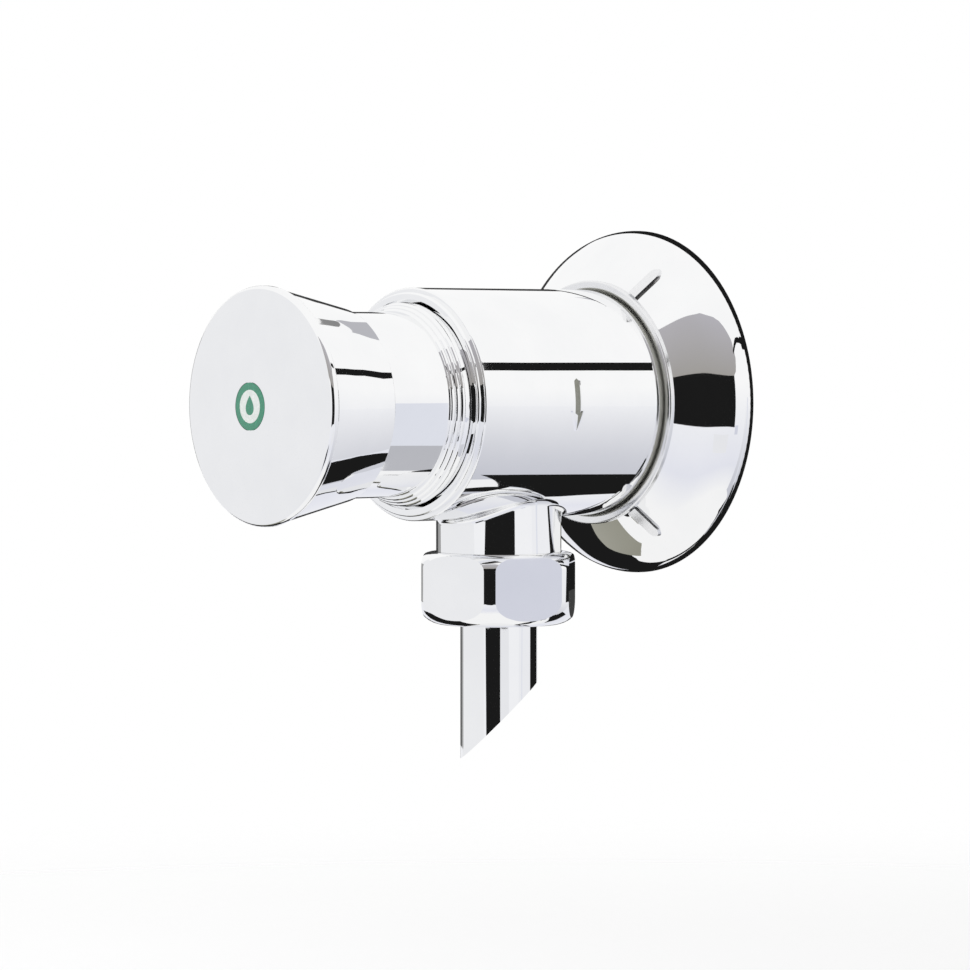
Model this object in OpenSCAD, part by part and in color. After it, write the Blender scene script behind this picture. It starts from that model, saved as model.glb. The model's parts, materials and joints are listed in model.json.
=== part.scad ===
// Wall-mounted push tap that closes by itself: a button on a long neck opens a valve in the body,
// and a piston with a lip seal times its return. The water leaves through a pipe under the body.
// The body's axis is Y, the wall is the plane Y = 0, and the button points towards -Y.
// Turned pieces are drawn as outlines of [radius, distance out from the wall, corner radius].

/* [Button] */
// Travel of the button towards the wall
travel = 9; // [6:0.5:12]
// How far the skirt widens from its free end to the rim
skirt_flare = 3.65; // [2:0.05:6]
// Wall of the skirt at its free end
skirt_wall = 0.65; // [0.4:0.05:1.5]
// Overlap of the skirt on the neck at rest
skirt_lap = 4.2; // [2:0.1:6]
// Radius of the domed face
dome_r = 110; // [60:1:200]
// Rounding between the face and the rim
rim_round = 0.9; // [0.4:0.1:1.5]
// Plain band under the rounded rim
rim_band = 0.5; // [0.2:0.1:1]
// Thickness of the metal between the roof inside and the rim
roof_t = 1.1; // [0.8:0.1:3]
// Diameter of the coloured badge in the face
badge_d = 8.3; // [6:0.1:14]
// Thickness of the badge
badge_t = 0.9; // [0.6:0.1:1.2]
// Diameter of the boss that takes the stem
button_boss_d = 11; // [9:0.5:16]

/* [Stem and piston] */
// Diameter of the stem
stem_d = 6; // [5.5:0.5:7]
// Diameter of the stem's threaded ends
stem_thread_d = 5; // [4:0.5:5]
// Height of the collar that the piston sits against
stem_collar_h = 1.2; // [0.8:0.1:2]
// How far the collars on the stem stand out
stem_collar_step = 1.5; // [1:0.1:2]
// Bore of the timing cylinder
piston_bore_d = 25; // [23:0.5:28]
// Height of the piston's head
piston_t = 4.2; // [3:0.1:6]
// Diameter of the piston's boss inside its seal
piston_boss_d = 14; // [11:0.5:15]
// Height of the lip seal
lip_seal_h = 2.6; // [2:0.1:4]
// Thickness of the washer under the seal
seal_washer_t = 0.8; // [0.5:0.1:1.5]
// Thickness of the clip that holds the piston on the stem
piston_clip_t = 0.8; // [0.6:0.1:1.2]

/* [Valve] */
// Diameter of the passage through the seat
seat_d = 12; // [10.5:0.5:13]
// Width of the seat's lip
seat_lip_w = 1; // [0.6:0.1:1.4]
// Height of the seat's lip
seat_lip_h = 0.8; // [0.5:0.1:1.5]
// Diameter of the rubber valve washer
valve_washer_d = 17; // [16:0.5:19]
// Thickness of the rubber valve washer
valve_washer_t = 2.45; // [1.5:0.05:4]
// Thickness of the plate behind the valve washer
valve_holder_t = 2.5; // [1.5:0.1:4]
// Rim of the holder around the valve washer
valve_holder_rim = 0.6; // [0.4:0.1:1]
// Height of the nut on the valve end of the stem
valve_nut_h = 3; // [2:0.1:3.5]
// Water gap around the open valve
valve_water_gap = 2.8; // [2:0.1:3.5]

/* [Cartridge] */
// Length of the cartridge's nose in the body
nose_len = 6.5; // [5.5:0.1:9]
// Wall of the cartridge sleeve
sleeve_wall = 2; // [1.4:0.1:2.5]
// Thickness of the sleeve's flange
sleeve_flange_t = 2.5; // [2.3:0.1:4]
// Thickness of the shelf under the stem guide
guide_shelf_t = 1.5; // [1:0.1:2.2]
// Thickness of the stem guide's plate
guide_t = 2.2; // [1.6:0.1:3]
// Length of the stem guide's hub
guide_hub_len = 4.5; // [4:0.1:6]
// Thickness of the ring that holds the guide
circlip_t = 1; // [0.8:0.1:1.5]
// Width of the windows that let the water out
window_w = 9; // [6:0.5:12]
// Width of the groove that times the piston's return
timing_groove_w = 0.6; // [0.4:0.1:1]

/* [Bonnet] */
// Wall of the neck
neck_wall = 1.8; // [1.5:0.1:2.5]
// Length of the thread in the body
bonnet_thread_len = 12.7; // [10:0.1:15]
// Step from the neck out to the bonnet's thread
bonnet_thread_step = 1.2; // [1:0.1:2]
// Height of the ringed collar on the body's front
collar_h = 3.3; // [2.5:0.1:4]
// Step from the bonnet's thread out to the collar
collar_step = 0.6; // [0.4:0.1:1]
// Number of rings on the collar
collar_rings = 3; // [2:1:4]
// Thickness of the floor under the spring
bonnet_floor_t = 2.2; // [1.6:0.1:3]
// Length of the neck in front of the body, with its collar
neck_len = 20.5; // [18:0.1:26]

/* [Spring] */
// Diameter of the spring's wire
spring_wire_d = 1.2; // [0.8:0.1:1.4]
// Diameter of the coil at the middle of the wire
spring_coil_d = 20; // [18:0.5:22]
// Number of coils
spring_turns = 5.5; // [4:0.5:6]

/* [Body] */
// Distance from the wall to the front of the body
body_len = 55.2; // [54.7:0.1:65]
// Gap between the wall and the body's back
body_back = 6; // [5:0.1:7]
// Wall of the body around the bonnet's thread
body_wall = 3.1; // [2.5:0.1:4]
// Width of the shoulder that the cartridge sits on
chamber_shoulder = 1.6; // [1:0.1:2]
// Height of the lip on the body's front
lip_h = 1; // [0.6:0.1:1.5]
// Step from the lip out to the body
lip_step = 0.8; // [0.6:0.1:1.2]
// Radius of the rounding at the back of the barrel
back_round = 4.5; // [3:0.1:6]
// Step from the body in to its spigot under the rose
spigot_step = 1.6; // [1.4:0.1:1.8]

/* [Inlet and outlet] */
// Outside diameter of the half-inch pipe thread
thread_d = 20.955; // [19:0.005:23]
// Reach of the inlet tail behind the wall
tail_reach = 14; // [10:0.5:25]
// Bore of the inlet tail
tail_bore_d = 15; // [13:0.5:16]
// Length of the strainer's basket
strainer_len = 8.6; // [4:0.1:9]
// Shoulder between the outlet's stub and its thread
stub_shoulder = 0.95; // [0.5:0.05:1.5]
// Drop of the outlet's stub below the axis
stub_drop = 28; // [25:0.5:35]
// Length of the outlet's thread
outlet_thread_len = 7; // [5:0.5:10]
// Bore of the outlet
outlet_bore_d = 13; // [10:0.5:14]

/* [Union nut and pipe] */
// Wall of the nut across its flats
nut_wall = 1.85; // [1.5:0.05:3]
// How far the nut's turned corners stand out beyond its flats
nut_corner = 1.5; // [0.8:0.1:1.9]
// Rounding of the nut's upper edge
nut_top_round = 2.8; // [1:0.1:3]
// Rounding of the nut's lower edge
nut_bottom_round = 4.6; // [3:0.1:5]
// Overlap of the nut on the stub
nut_lap = 1; // [0.5:0.1:1.5]
// Thickness of the nut's floor
nut_floor_t = 2; // [1.5:0.1:3]
// Turn of the nut about the outlet
nut_turn = 46.5; // [0:0.5:60]
// Thickness of the washer between the outlet and the pipe
outlet_washer_t = 2; // [1:0.1:3]
// Thickness of the collar on the pipe
pipe_collar_t = 1.2; // [0.8:0.1:2]
// Outside diameter of the pipe
pipe_d = 14; // [10:0.5:16]
// Wall of the pipe
pipe_wall = 1; // [0.5:0.1:1.5]
// Length of the pipe to the middle of its slanted end
pipe_len = 20.8; // [14:0.1:80]
// Slant of the pipe's end
pipe_mitre = 45; // [0:1:45]
// Turn of the slant about the pipe
mitre_turn = 50; // [0:1:90]

/* [Rose] */
// Diameter of the rose at the wall
rose_d = 64; // [60:0.5:80]
// Height of the rose
rose_h = 11.8; // [11:0.1:14]
// Height of the straight edge at the wall
rose_rim_h = 0.3; // [0.2:0.1:1]
// Radius of the rounding from the edge to the bell's cone
rose_rim_r = 6.5; // [4:0.1:8]
// Height of the ring around the rose's hole
rose_ring_h = 1; // [0.6:0.1:2]
// Wall of the ring around the rose's hole
rose_ring_w = 3; // [2.6:0.1:4]
// Wall of the rose's bell
rose_wall = 2.4; // [1.5:0.1:2.6]
// Number of ribs on the bell
rose_ribs = 3; // [0:1:6]
// Angle of the first rib
rose_rib_turn = 60; // [0:1:120]
// Length of a rib outside the ring
rose_rib_len = 5.6; // [3:0.1:6.5]
// Width of a rib
rose_rib_w = 2; // [1:0.1:3]
// Height of a rib
rose_rib_h = 0.6; // [0.3:0.1:1]

/* [Fits] */
// Radial gap of a piece that runs on another
run_gap = 0.05; // [0.03:0.01:0.1]
// Radial gap between the skirt and the neck
skirt_gap = 0.15; // [0.1:0.01:0.3]
// Radial gap of a piece that is screwed or pushed into another
seat_fit = 0.1; // [0.05:0.01:0.2]
// Thickness of the cord of the large O-rings
o_ring_t = 1.6; // [1.3:0.05:1.8]

/* [Hidden] */

// Fineness of circles, of small holes and of the arcs in an outline
round_fn = 96;
hole_fn = 24;
arc_steps = 8;
bell_steps = 16;
bead_steps = 6;
// Margin by which a cut runs past the surface that it opens
past = 1;

// Small gaps between pieces
close_gap = 0.05;
nut_gap = 0.15;
fine_gap = 0.2;
pipe_gap = 0.25;
clear_gap = 0.3;
lock_nut_gap = 0.7;
rest_gap = 1.1;
stop_gap = 1.2;
roof_gap = 1.5;

// Roundings of edges, from the finest up
fine_edge = 0.2;
small_edge = 0.3;
edge = 0.5;
large_edge = 1;

// Small sizes of the button, the stem and what it carries
rim_step = 0.25;
cap_wall = 2.3;
spring_ring_t = 1;
lock_nut_h = 3.2;
lock_nut_rim = 2;
stem_tip = 0.8;
stem_depth = 1;
piston_wall = 1.5;
lip_t = 0.8;
lip_splay = 0.6;
lip_web_t = 1;
seal_washer_rim = 1.2;
piston_clip_rim = 2.5;
valve_nut_rim = 1.5;

// Small sizes of the body and of what is fixed in it
back_boss_h = 3.5;
back_boss_wall = 2;
inlet_floor_t = 2;
strainer_rim_h = 1.3;
strainer_rim_w = 0.8;
strainer_wall = 0.6;
strainer_gap = 1;
strainer_hole_r = 0.9;
nose_floor_t = 1;
window_margin = 1.25;
timing_groove_depth = 0.4;
circlip_w = 2.2;
circlip_depth = 0.6;
guide_hub_wall = 1.2;
collar_plain = 1;
bush_wall = 1.85;
bush_flange_t = 0.8;
bush_flange_w = 1.5;
spring_close_gap = 0.5;
rose_ring_edge = 0.4;
rose_reveal = 2;
throat_bevel = 1.6;
throat_land = 0.5;
o_ring_squeeze = 0.1;
groove_room = 0.4;
groove_land = 1.2;

// Radii, from the stem outwards
stem_r = stem_d / 2;
stem_thread_r = stem_thread_d / 2;
stem_collar_r = stem_r + stem_collar_step;
guide_bore_r = stem_r + run_gap;
thread_hole_r = stem_thread_r + run_gap;
cylinder_r = piston_bore_d / 2;
sleeve_r = cylinder_r + sleeve_wall;
bonnet_bore_r = sleeve_r + 2 * seat_fit;
neck_r = bonnet_bore_r + neck_wall;
bonnet_thread_r = neck_r + bonnet_thread_step;
body_bore_r = bonnet_thread_r + seat_fit;
body_r = body_bore_r + body_wall;
chamber_r = body_bore_r - chamber_shoulder;
collar_r = bonnet_thread_r + collar_step;
spigot_r = body_r - spigot_step;
skirt_bore_r = neck_r + skirt_gap;
skirt_r = skirt_bore_r + skirt_wall;
button_r = skirt_r + skirt_flare;

// Radii of the valve and of the cartridge's nose around it
seat_r = seat_d / 2;
valve_washer_r = valve_washer_d / 2;
valve_holder_r = valve_washer_r + seat_fit + valve_holder_rim;
nose_bore_r = valve_holder_r + valve_water_gap;
nose_r = nose_bore_r - seat_fit;
waist_bore_r = nose_r - sleeve_wall - clear_gap;
tail_r = thread_d / 2;
tail_bore_r = tail_bore_d / 2;
back_boss_r = nose_bore_r + back_boss_wall;

// Distances from the wall, from the inlet outwards
strainer_rim_end = strainer_rim_h - tail_reach;
back_boss_at = body_back - back_boss_h;
inlet_floor = back_boss_at + inlet_floor_t;
holder_at = inlet_floor + travel + stop_gap;
valve_nut_at = holder_at - valve_nut_h;
valve_washer_at = holder_at + valve_holder_t;
valve_face = valve_washer_at + valve_washer_t;
seat_at = valve_face + close_gap;
nose_at = seat_at + seat_lip_h;
nose_end = nose_at + nose_len;
sleeve_flange_end = body_len - bonnet_thread_len;
shoulder_at = sleeve_flange_end - sleeve_flange_t;
chamber_len = shoulder_at - nose_end;
outlet_at = nose_end + chamber_len / 2;
guide_at = shoulder_at + guide_shelf_t;
guide_end = guide_at + guide_t;
circlip_end = guide_end + circlip_t;
piston_clip_at = circlip_end + clear_gap + travel;
seal_washer_at = piston_clip_at + piston_clip_t;
lip_seal_at = seal_washer_at + seal_washer_t;
piston_head_at = lip_seal_at + lip_seal_h;
stem_collar_at = piston_head_at + piston_t;
bush_at = stem_collar_at + stem_collar_h + rest_gap;
bonnet_floor_at = bush_at + bush_flange_t;
sleeve_end = bonnet_floor_at - edge;
spring_floor = bonnet_floor_at + bonnet_floor_t;
bush_end = spring_floor + bush_flange_t;
neck_end = body_len + neck_len;
skirt_at = neck_end - skirt_lap;
roof_at = neck_end + travel + roof_gap;
rim_at = roof_at + roof_t;
lock_nut_at = bush_end + travel + lock_nut_gap;
button_boss_at = lock_nut_at + lock_nut_h;
stem_end = roof_at + stem_depth;
collar_at = body_len + fine_gap;
collar_end = collar_at + collar_h;

// The domed face, drawn as an arc that runs smoothly into the rounded rim
face_r = button_r - rim_round;
dome_at = rim_at - sqrt(pow(dome_r - rim_round, 2) - pow(face_r, 2));
dome_slope = asin(face_r / (dome_r - rim_round));
face_top = dome_at + dome_r;
badge_floor = face_top - badge_t;
badge_pocket_r = badge_d / 2 + seat_fit;

// Radii and drops below the axis of the outlet
stub_r = tail_r + stub_shoulder;
outlet_bore_r = outlet_bore_d / 2;
outlet_end = stub_drop + outlet_thread_len;
pipe_top = outlet_end + outlet_washer_t;
nut_floor_at = pipe_top + pipe_collar_t;
nut_end = nut_floor_at + nut_floor_t;
nut_top = stub_drop - nut_lap;
nut_mouth_r = stub_r + nut_gap;
nut_flat_r = nut_mouth_r + nut_wall;
nut_r = nut_flat_r + nut_corner;
nut_bore_r = tail_r + seat_fit;
washer_r = nut_bore_r - clear_gap;
pipe_r = pipe_d / 2;
pipe_bore_r = pipe_r - pipe_wall;
pipe_end = pipe_top + pipe_len;

// The barrel's back, rounded in to the spigot that carries the rose
back_turn = acos(1 - spigot_step / back_round);
back_round_at = rose_h + rose_reveal;
spigot_end = back_round_at - back_round * sin(back_turn);

// The rose's bell, a cone from the foot of its ring that runs smoothly into its rounded edge
rose_throat_r = spigot_r + clear_gap;
rose_ring_r = rose_throat_r + rose_ring_w;
rose_foot = [rose_ring_r, rose_h - rose_ring_h];
rose_rim_centre = [rose_d / 2 - rose_rim_r, rose_rim_h];
bell_turn = direction(rose_rim_centre, rose_foot) - acos(rose_rim_r / norm(rose_foot - rose_rim_centre));

// Grooves of the O-rings, and the bush of the stem
groove_w = o_ring_t + groove_room;
groove_depth = o_ring_t - run_gap;
rose_groove_at = spigot_end - throat_land - groove_w;
rose_throat_at = rose_groove_at - throat_land;
rose_groove_r = spigot_r - groove_depth;
nose_groove_at = nose_at + groove_land;
nose_groove_r = nose_bore_r - o_ring_t;
bonnet_groove_at = body_len - lip_h - groove_w - groove_land;
bonnet_groove_r = body_bore_r - o_ring_t;
stem_seal_t = 1.74;
stem_groove_w = stem_seal_t + clear_gap;
stem_groove_r = guide_bore_r + stem_seal_t + 2 * run_gap;
stem_groove_at = guide_at - guide_hub_len + groove_land;
bush_r = guide_bore_r + bush_wall;

function unit(v) = v / norm(v);

// The turn from one direction to another, the short way
function turn(from, to) = (to - from + 540) % 360 - 180;

function arc(centre, radius, from, to, steps = arc_steps) = [
    for (i = [0 : steps]) let (a = from + (to - from) * i / steps) centre + radius * [cos(a), sin(a)]
];

function direction(from, to) = atan2(to.y - from.y, to.x - from.x);

// One corner of an outline, rounded as far as its two sides allow
function rounded_corner(before, at, after, wanted) =
    let (
        to_before = unit(before - at),
        to_after = unit(after - at),
        half = acos(max(-1, min(1, to_before * to_after))) / 2,
        room = 0.48 * min(norm(before - at), norm(after - at)) * tan(half),
        radius = min(wanted, room)
    )
    radius <= 0 || half > 89 ? [at] :
    let (
        centre = at + unit(to_before + to_after) * radius / sin(half),
        start = direction(centre, at + to_before * radius / tan(half)),
        end = direction(centre, at + to_after * radius / tan(half))
    )
    arc(centre, radius, start, start + turn(start, end));

function flat(p) = [p.x, p.y];
function outline(points) = let (n = len(points)) [
    for (i = [0 : n - 1]) each rounded_corner(
        flat(points[(i + n - 1) % n]), flat(points[i]), flat(points[(i + 1) % n]),
        len(points[i]) > 2 ? points[i].z : 0)
];
function backwards(points) = [for (i = [len(points) - 1 : -1 : 0]) points[i]];

// Places its children with their height along the body's axis, out from the wall
module out_from_wall(at = 0) {
    rotate([90, 0, 0]) translate([0, 0, at]) children();
}

// Places its children with their height along the outlet, down from the axis
module down_the_outlet(at = 0) {
    translate([0, -outlet_at, 0]) rotate([180, 0, 0]) translate([0, 0, at]) children();
}

module turned(points) {
    out_from_wall() rotate_extrude($fn = round_fn) polygon(outline(points));
}

module turned_outlet(points) {
    down_the_outlet() rotate_extrude($fn = round_fn) polygon(outline(points));
}

module o_ring(groove_floor_r, at, thickness = o_ring_t) {
    out_from_wall(at) rotate_extrude($fn = round_fn)
        translate([groove_floor_r + run_gap + thickness / 2, 0]) circle(d = thickness, $fn = round_fn);
}

module hex_nut(at, height, flats, bore_r) {
    out_from_wall(at) difference() {
        cylinder(h = height, r = flats / 2 / cos(30), $fn = 6);
        translate([0, 0, -past]) cylinder(h = height + 2 * past, r = bore_r, $fn = round_fn);
    }
}

// Points on a groove cut into an outline at radius r, going outwards along the axis
function groove(r, floor_r, at, width) = [[r, at], [floor_r, at], [floor_r, at + width], [r, at + width]];

function dome_point(r) = [r, dome_at + sqrt(dome_r * dome_r - r * r)];

// Mushroom-shaped cap with a hollow skirt, a boss for the stem and a ring that centres the spring
module push_button() {
    spring_ring_r = (spring_coil_d + spring_wire_d) / 2 + edge;
    color("gainsboro") turned(concat(
        [[0, badge_floor], [badge_pocket_r, badge_floor]],
        arc([0, dome_at], dome_r, acos(badge_pocket_r / dome_r), 90 - dome_slope),
        arc([face_r, rim_at], rim_round, 90 - dome_slope, 0),
        [
            [button_r, rim_at - rim_band, fine_edge],
            [button_r - rim_step, rim_at - rim_band - rim_step],
            [skirt_r, skirt_at, fine_edge],
            [skirt_bore_r, skirt_at, fine_edge],
            [skirt_bore_r, skirt_at + skirt_lap / 2],
            [button_r - cap_wall, roof_at, large_edge],
            [spring_ring_r + spring_ring_t, roof_at],
            [spring_ring_r + spring_ring_t, roof_at - spring_ring_t, small_edge],
            [spring_ring_r, roof_at - spring_ring_t, small_edge],
            [spring_ring_r, roof_at],
            [button_boss_d / 2, roof_at],
            [button_boss_d / 2, button_boss_at, edge],
            [thread_hole_r, button_boss_at],
            [thread_hole_r, stem_end + fine_gap],
            [0, stem_end + fine_gap],
        ]
    ));
}

// Coloured disc let into the middle of the face, following its dome
module button_badge() {
    color("seagreen") turned(concat(
        [[0, badge_floor], [badge_d / 2, badge_floor]],
        arc([0, dome_at], dome_r, acos(badge_d / 2 / dome_r), 90)
    ));
}

// Nut that locks the button on the stem
module button_lock_nut() {
    color("darkgoldenrod") hex_nut(lock_nut_at, lock_nut_h, stem_thread_d + 2 * lock_nut_rim, thread_hole_r);
}

// Rod from the button to the valve, with a collar for the piston and a groove for its clip
module stem() {
    clip_floor_r = stem_r - edge;
    valve_shoulder = valve_face + stem_collar_h;
    color("lightsteelblue") turned(concat(
        [
            [0, valve_nut_at - stem_tip],
            [stem_thread_r, valve_nut_at - stem_tip, edge],
            [stem_thread_r, valve_shoulder],
            [stem_r, valve_shoulder],
        ],
        groove(stem_r, clip_floor_r, piston_clip_at, piston_clip_t),
        [
            [stem_r, stem_collar_at],
            [stem_collar_r, stem_collar_at],
            [stem_collar_r, stem_collar_at + stem_collar_h, small_edge],
            [stem_r, stem_collar_at + stem_collar_h],
            [stem_r, lock_nut_at - edge],
            [stem_thread_r, lock_nut_at - edge],
            [stem_thread_r, stem_end, edge],
            [0, stem_end],
        ]
    ));
}

// Piston with a boss that carries the lip seal and a hollow front
module piston() {
    head_r = cylinder_r - clear_gap;
    hub_r = stem_collar_r + piston_wall;
    hollow_at = stem_collar_at - piston_t / 2;
    color("ivory") turned([
        [stem_r + run_gap, lip_seal_at],
        [piston_boss_d / 2, lip_seal_at],
        [piston_boss_d / 2, piston_head_at],
        [head_r, piston_head_at, small_edge],
        [head_r, stem_collar_at, small_edge],
        [head_r - piston_wall, stem_collar_at, small_edge],
        [head_r - piston_wall, hollow_at, edge],
        [hub_r, hollow_at, edge],
        [hub_r, stem_collar_at],
        [stem_r + run_gap, stem_collar_at],
    ]);
}

// Cup seal whose lip closes on the return stroke and yields on the press
module piston_lip_seal() {
    boss_r = piston_boss_d / 2 + run_gap;
    lip_r = cylinder_r - run_gap;
    web_at = piston_head_at - lip_web_t;
    color("dimgray") turned([
        [boss_r, piston_head_at],
        [lip_r - lip_splay, piston_head_at],
        [lip_r, lip_seal_at + small_edge],
        [lip_r - lip_t, lip_seal_at + fine_gap],
        [lip_r - lip_t - lip_splay, web_at, edge],
        [boss_r + lip_t + small_edge, web_at, edge],
        [boss_r + lip_t, lip_seal_at + small_edge],
        [boss_r, lip_seal_at + fine_gap],
    ]);
}

module seal_washer() {
    color("goldenrod") turned([
        [stem_r + run_gap, seal_washer_at],
        [piston_boss_d / 2 + seal_washer_rim, seal_washer_at, fine_edge],
        [piston_boss_d / 2 + seal_washer_rim, lip_seal_at],
        [stem_r + run_gap, lip_seal_at],
    ]);
}

// Open clip that snaps into the stem's groove
module piston_clip() {
    clip_bore_r = stem_r - edge + run_gap;
    clip_r = stem_r + piston_clip_rim;
    mouth_w = 1.7 * clip_bore_r;
    color("slategray") out_from_wall(piston_clip_at) difference() {
        cylinder(h = piston_clip_t, r = clip_r, $fn = round_fn);
        translate([0, 0, -past]) cylinder(h = piston_clip_t + 2 * past, r = clip_bore_r, $fn = round_fn);
        translate([-mouth_w / 2, 0, -past]) cube([mouth_w, clip_r + past, piston_clip_t + 2 * past]);
    }
}

// Washer that clamps the valve washer against the stem's shoulder, and passes through the seat
module valve_clamp_washer() {
    color("goldenrod") turned([
        [thread_hole_r, valve_face],
        [stem_collar_r, valve_face],
        [stem_collar_r, valve_face + stem_collar_h, small_edge],
        [thread_hole_r, valve_face + stem_collar_h],
    ]);
}

module valve_washer() {
    color("dimgray") turned([
        [thread_hole_r, valve_washer_at],
        [valve_washer_r, valve_washer_at],
        [valve_washer_r, valve_face, small_edge],
        [thread_hole_r, valve_face],
    ]);
}

// Brass cup that backs the valve washer
module valve_holder() {
    cup_at = valve_washer_at + valve_washer_t / 2;
    color("goldenrod") turned([
        [thread_hole_r, holder_at],
        [valve_holder_r, holder_at, edge],
        [valve_holder_r, cup_at, fine_edge],
        [valve_washer_r + seat_fit, cup_at],
        [valve_washer_r + seat_fit, valve_washer_at],
        [thread_hole_r, valve_washer_at],
    ]);
}

module valve_nut() {
    color("darkgoldenrod")
        hex_nut(valve_nut_at, valve_nut_h, stem_thread_d + 2 * valve_nut_rim, thread_hole_r);
}

// Cast body: inlet tail behind the wall, spigot for the rose, barrel, front lip and outlet stub
module valve_body() {
    color("gainsboro") difference() {
        union() {
            turned(concat(
                [
                    [0, -tail_reach],
                    [tail_r, -tail_reach, large_edge],
                    [tail_r, back_boss_at],
                    [back_boss_r, back_boss_at, edge],
                    [back_boss_r, body_back, large_edge],
                    [spigot_r, body_back, large_edge],
                ],
                groove(spigot_r, rose_groove_r, rose_groove_at, groove_w),
                arc([body_r - back_round, back_round_at], back_round, -back_turn, 0),
                [
                    [body_r, body_len - lip_h, lip_step],
                    [body_r - lip_step, body_len - lip_h],
                    [body_r - lip_step, body_len, edge],
                    [0, body_len],
                ]
            ));
            down_the_outlet() cylinder(h = stub_drop, r = stub_r, $fn = round_fn);
            down_the_outlet(stub_drop - past)
                cylinder(h = outlet_thread_len + past, r = tail_r, $fn = round_fn);
        }
        turned([
            [0, -tail_reach - past],
            [tail_bore_r + strainer_rim_w, -tail_reach - past],
            [tail_bore_r + strainer_rim_w, strainer_rim_end + seat_fit],
            [tail_bore_r, strainer_rim_end + seat_fit],
            [tail_bore_r, inlet_floor],
            [nose_bore_r, inlet_floor, large_edge],
            [nose_bore_r, nose_end],
            [chamber_r, nose_end, edge],
            [chamber_r, shoulder_at],
            [body_bore_r, shoulder_at],
            [body_bore_r, body_len - lip_h],
            [body_bore_r + lip_h + past, body_len + past],
            [0, body_len + past],
        ]);
        down_the_outlet(chamber_r - outlet_bore_r / 2)
            cylinder(h = outlet_end, r = outlet_bore_r, $fn = round_fn);
    }
}

// Perforated basket in the mouth of the inlet
module inlet_strainer() {
    rim_r = tail_bore_r + strainer_rim_w - seat_fit;
    basket_r = tail_bore_r - strainer_gap;
    inside_r = basket_r - strainer_wall;
    basket_end = strainer_rim_end + strainer_len;
    rows = 3;
    row_step = strainer_len / (rows + 0.6);
    columns = 8;
    color("darkgray") difference() {
        turned([
            [inside_r, -tail_reach],
            [rim_r, -tail_reach],
            [rim_r, strainer_rim_end],
            [basket_r, strainer_rim_end],
            [basket_r, basket_end, edge],
            [0, basket_end],
            [0, basket_end - strainer_wall],
            [inside_r, basket_end - strainer_wall],
        ]);
        for (row = [0 : rows - 1], column = [0 : columns - 1])
            out_from_wall(strainer_rim_end + row_step * (row + 0.75))
                rotate([0, 0, (column + row / 2) * 360 / columns])
                translate([inside_r - strainer_hole_r, 0, 0]) rotate([0, 90, 0])
                cylinder(h = strainer_wall + 2 * strainer_hole_r, r = strainer_hole_r, $fn = hole_fn);
    }
}

// The bell from its edge in to the foot of the ring, raised above its surface or sunk into it
function bell(raised) = concat(
    arc(rose_rim_centre, rose_rim_r + raised, 0, bell_turn, bell_steps),
    [rose_foot + raised * [cos(bell_turn), sin(bell_turn)]]
);

// Radius of the bell's inside at a given distance from the wall
function bell_inside_r(at) =
    let (top = rose_foot - rose_wall * [cos(bell_turn), sin(bell_turn)])
    top.x + (top.y - at) * tan(bell_turn);

// Short rounded rib that runs out from the ring over the bell
module rose_rib(angle) {
    rib_r = rose_rib_w / 2;
    rib_end = rose_ring_r + rose_rib_len - rib_r;
    intersection() {
        turned(concat(bell(rose_rib_h), backwards(bell(-rose_wall / 2))));
        out_from_wall() rotate([0, 0, angle]) linear_extrude(rose_h) polygon(concat(
            [[rose_throat_r + throat_bevel, rib_r], [rose_throat_r + throat_bevel, -rib_r]],
            arc([rib_end, 0], rib_r, -90, 90)
        ));
    }
}

// Domed bell that covers the hole in the wall, open at the back, with a ring around the body
module wall_rose() {
    color("gainsboro") union() {
        turned(concat(
            [[rose_d / 2, 0]],
            bell(0),
            [
                [rose_ring_r, rose_h, rose_ring_edge],
                [rose_throat_r + throat_bevel, rose_h, edge],
                [rose_throat_r, rose_h - throat_bevel],
                [rose_throat_r, rose_throat_at],
                [bell_inside_r(rose_throat_at), rose_throat_at],
            ],
            arc(rose_rim_centre, rose_rim_r - rose_wall, bell_turn, 0),
            [[rose_d / 2 - rose_wall, 0]]
        ));
        for (i = [0 : rose_ribs - 1]) rose_rib(rose_rib_turn + i * 360 / rose_ribs);
    }
}

module rose_o_ring() {
    color("dimgray") o_ring(rose_groove_r, rose_groove_at + groove_w / 2);
}

// Sleeve with the valve seat on its nose, windows over the outlet and the timing cylinder in front
module cartridge_sleeve() {
    inner_floor = nose_end - nose_floor_t;
    window_len = chamber_len - 2 * window_margin;
    color("whitesmoke") difference() {
        turned(concat(
            [
                [seat_r, seat_at, small_edge],
                [seat_r + seat_lip_w, seat_at, small_edge],
                [seat_r + seat_lip_w, nose_at],
                [nose_r, nose_at, small_edge],
            ],
            groove(nose_r, nose_groove_r, nose_groove_at, groove_w),
            [
                [nose_r, shoulder_at],
                [body_bore_r - seat_fit, shoulder_at],
                [body_bore_r - seat_fit, sleeve_flange_end],
                [sleeve_r, sleeve_flange_end],
                [sleeve_r, sleeve_end, small_edge],
                [cylinder_r, sleeve_end],
            ],
            backwards(groove(cylinder_r, cylinder_r + circlip_depth, guide_end, circlip_t + seat_fit)),
            [
                [cylinder_r, guide_at],
                [waist_bore_r, guide_at],
                [waist_bore_r, inner_floor, edge],
                [seat_r, inner_floor],
            ]
        ));
        for (angle = [45, 135])
            out_from_wall(nose_end + window_margin) rotate([0, 0, angle])
                translate([-nose_bore_r, -window_w / 2, 0])
                cube([2 * nose_bore_r, window_w, window_len]);
        out_from_wall(circlip_end + clear_gap) translate([-timing_groove_w / 2, 0, 0])
            cube([timing_groove_w, cylinder_r + timing_groove_depth, sleeve_end]);
    }
}

module cartridge_o_ring() {
    color("dimgray") o_ring(nose_groove_r, nose_groove_at + groove_w / 2, o_ring_t - o_ring_squeeze);
}

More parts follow.
